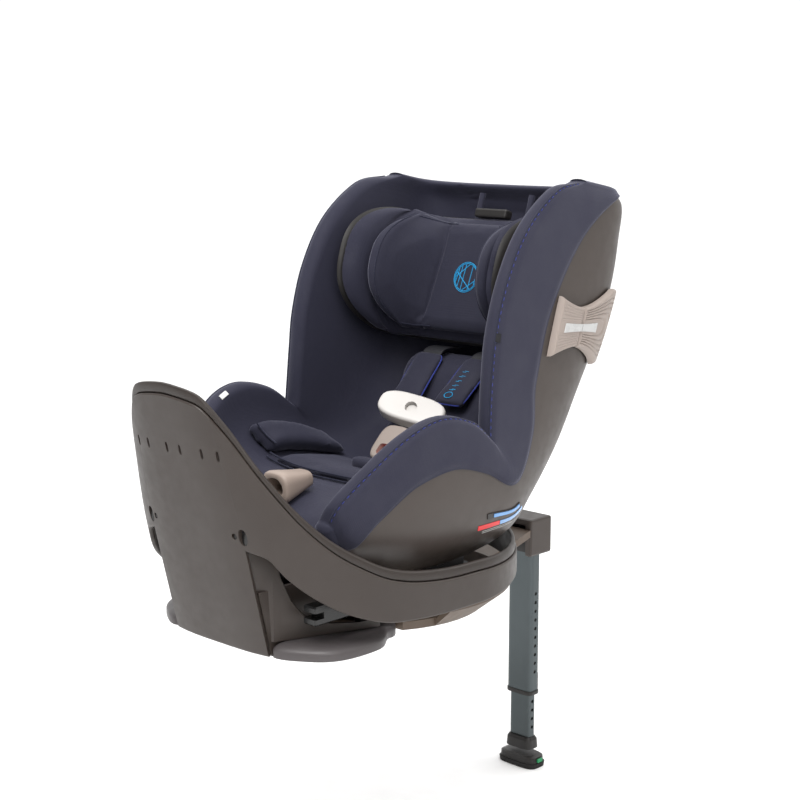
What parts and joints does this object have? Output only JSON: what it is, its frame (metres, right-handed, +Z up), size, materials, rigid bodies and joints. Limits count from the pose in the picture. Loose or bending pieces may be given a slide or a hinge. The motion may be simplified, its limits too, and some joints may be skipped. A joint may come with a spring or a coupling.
{
  "type": "convertible car seat",
  "caption": "Rotating child car seat on a rigid-anchor base: bucket that turns and reclines, sliding headrest, harness, anti-rebound panel and a folding telescopic load leg.",
  "frame": {"origin": "on the flat underside of the base, where the axis that the seat turns about meets it", "axes": "+Z up; -Y towards the vehicle backrest, which the tall panel leans on, and the child faces it at rest; +Y towards the load leg; +X to the left of the child as it faces -Y"},
  "size_m": [0.4408, 0.7748, 0.984],
  "materials": {
    "warm_grey_plastic": "satin",
    "dark_plastic": "satin",
    "light_grey_plastic": "satin",
    "taupe_plastic": "satin",
    "beige_plastic": "satin",
    "white_plastic": "satin",
    "red_plastic": "satin",
    "green_indicator": "satin",
    "blue_window": "gloss",
    "zinc_plated_steel": "satin",
    "anodised_aluminium": "satin",
    "rubber": "matte",
    "navy_fabric": "matte",
    "navy_inlay_fabric": "matte",
    "black_webbing": "matte",
    "energy_foam": "matte"
  },
  "bodies": {
    "base": {"base_collar": "warm_grey_plastic", "collar_liner": "dark_plastic", "base_housing": "warm_grey_plastic", "base_floor": "dark_plastic", "side_foot_left": "light_grey_plastic", "side_foot_right": "light_grey_plastic", "leg_housing": "warm_grey_plastic", "leg_pivot_pin": "zinc_plated_steel", "latch_guide_left": "dark_plastic", "latch_guide_right": "dark_plastic", "panel_screw_left": "zinc_plated_steel", "panel_screw_right": "zinc_plated_steel", "turntable_track": "zinc_plated_steel", "turntable_hub": "zinc_plated_steel"},
    "latch_left": {"latch_arm_left": "zinc_plated_steel", "latch_indicator_left": "red_plastic"},
    "latch_right": {"latch_arm_right": "zinc_plated_steel", "latch_indicator_right": "red_plastic"},
    "latch_release_left": {"latch_button_left": "dark_plastic"},
    "latch_release_right": {"latch_button_right": "dark_plastic"},
    "leg": {"leg_outer_tube": "anodised_aluminium", "leg_clamp": "dark_plastic"},
    "leg_release": {"leg_button": "light_grey_plastic"},
    "leg_lower": {"leg_inner_tube": "anodised_aluminium", "foot_stem": "dark_plastic"},
    "foot": {"foot_shoe": "dark_plastic", "foot_sole": "rubber", "foot_indicator": "green_indicator"},
    "turntable": {"turntable_disc": "dark_plastic"},
    "seat": {"seat_shell": "warm_grey_plastic", "seat_foam": "energy_foam", "seat_liner": "navy_fabric", "side_cover_left": "navy_fabric", "side_cover_right": "navy_fabric", "recline_window": "blue_window", "side_protector_left": "beige_plastic", "side_protector_right": "beige_plastic", "headrest_rails": "zinc_plated_steel", "seat_inlay": "navy_inlay_fabric", "back_inlay": "navy_inlay_fabric", "hip_bolster_left": "navy_inlay_fabric", "hip_bolster_right": "navy_inlay_fabric", "shoulder_pad_left": "navy_fabric", "shoulder_pad_right": "navy_fabric", "shoulder_strap_left": "black_webbing", "shoulder_strap_right": "black_webbing", "chest_clip": "white_plastic", "buckle_body": "taupe_plastic", "buckle_tongue": "taupe_plastic", "crotch_pad": "navy_inlay_fabric"},
    "protector_left": {"protector_flap_left": "beige_plastic"},
    "protector_right": {"protector_flap_right": "beige_plastic"},
    "recline_release": {"recline_handle": "taupe_plastic"},
    "chest_clip_release": {"chest_clip_button": "white_plastic"},
    "buckle_release": {"buckle_button": "red_plastic"},
    "headrest": {"headrest_shell": "dark_plastic", "headrest_pad": "navy_fabric", "head_inlay": "navy_inlay_fabric", "headrest_carrier": "dark_plastic"},
    "headrest_release": {"headrest_adjuster": "dark_plastic"}
  },
  "joints": [
    {"name": "latch_left_slide", "type": "slide", "parent": "base", "child": "latch_left", "axis": [0, -1, 0], "range_m": [0, 0.12]},
    {"name": "latch_right_slide", "type": "slide", "parent": "base", "child": "latch_right", "axis": [0, -1, 0], "range_m": [0, 0.12]},
    {"name": "latch_release_left_press", "type": "slide", "parent": "base", "child": "latch_release_left", "axis": [0, 1, 0], "range_m": [0, 0.005], "stiffness_N_per_m": 400},
    {"name": "latch_release_right_press", "type": "slide", "parent": "base", "child": "latch_release_right", "axis": [0, 1, 0], "range_m": [0, 0.005], "stiffness_N_per_m": 400},
    {"name": "leg_fold", "type": "hinge", "parent": "base", "child": "leg", "pos_m": [0, 0.36, 0.022], "axis": [-1, 0, 0], "range_deg": [0, 75]},
    {"name": "leg_release_press", "type": "slide", "parent": "leg", "child": "leg_release", "axis": [0, -1, 0], "range_m": [0, 0.004], "stiffness_N_per_m": 400},
    {"name": "leg_length", "type": "slide", "parent": "leg", "child": "leg_lower", "axis": [0, 0, -1], "range_m": [-0.06, 0.12]},
    {"name": "foot_load", "type": "slide", "parent": "leg_lower", "child": "foot", "axis": [0, 0, 1], "range_m": [0, 0.006], "stiffness_N_per_m": 2000},
    {"name": "seat_turn", "type": "hinge", "parent": "base", "child": "turntable", "pos_m": [0, 0, 0], "axis": [0, 0, 1], "continuous": true},
    {"name": "seat_recline", "type": "hinge", "parent": "turntable", "child": "seat", "pos_m": [0, 0.01, 0.46], "axis": [-1, 0, 0], "range_deg": [0, 10]},
    {"name": "protector_left_swing", "type": "hinge", "parent": "seat", "child": "protector_left", "pos_m": [0.21521, 0.22079, 0.40481], "axis": [-0.0145, -0.3128, -0.9497], "range_deg": [0, 45]},
    {"name": "protector_right_swing", "type": "hinge", "parent": "seat", "child": "protector_right", "pos_m": [-0.21521, 0.22079, 0.40481], "axis": [-0.0145, 0.3128, 0.9497], "range_deg": [0, 45]},
    {"name": "recline_handle_pull", "type": "slide", "parent": "seat", "child": "recline_release", "axis": [0, -0.94, 0.3412], "range_m": [0, 0.012], "stiffness_N_per_m": 600},
    {"name": "chest_clip_press", "type": "slide", "parent": "seat", "child": "chest_clip_release", "axis": [-0.3695, 0.645, -0.6689], "range_m": [0, 0.003], "stiffness_N_per_m": 300},
    {"name": "buckle_press", "type": "slide", "parent": "seat", "child": "buckle_release", "axis": [0, 0.7021, -0.7121], "range_m": [0, 0.003], "stiffness_N_per_m": 600},
    {"name": "headrest_height", "type": "slide", "parent": "seat", "child": "headrest", "axis": [0, 0.29, 0.957], "range_m": [0, 0.1]},
    {"name": "headrest_release_squeeze", "type": "slide", "parent": "headrest", "child": "headrest_release", "axis": [0, 0.29, 0.957], "range_m": [0, 0.006], "stiffness_N_per_m": 500}
  ]
}
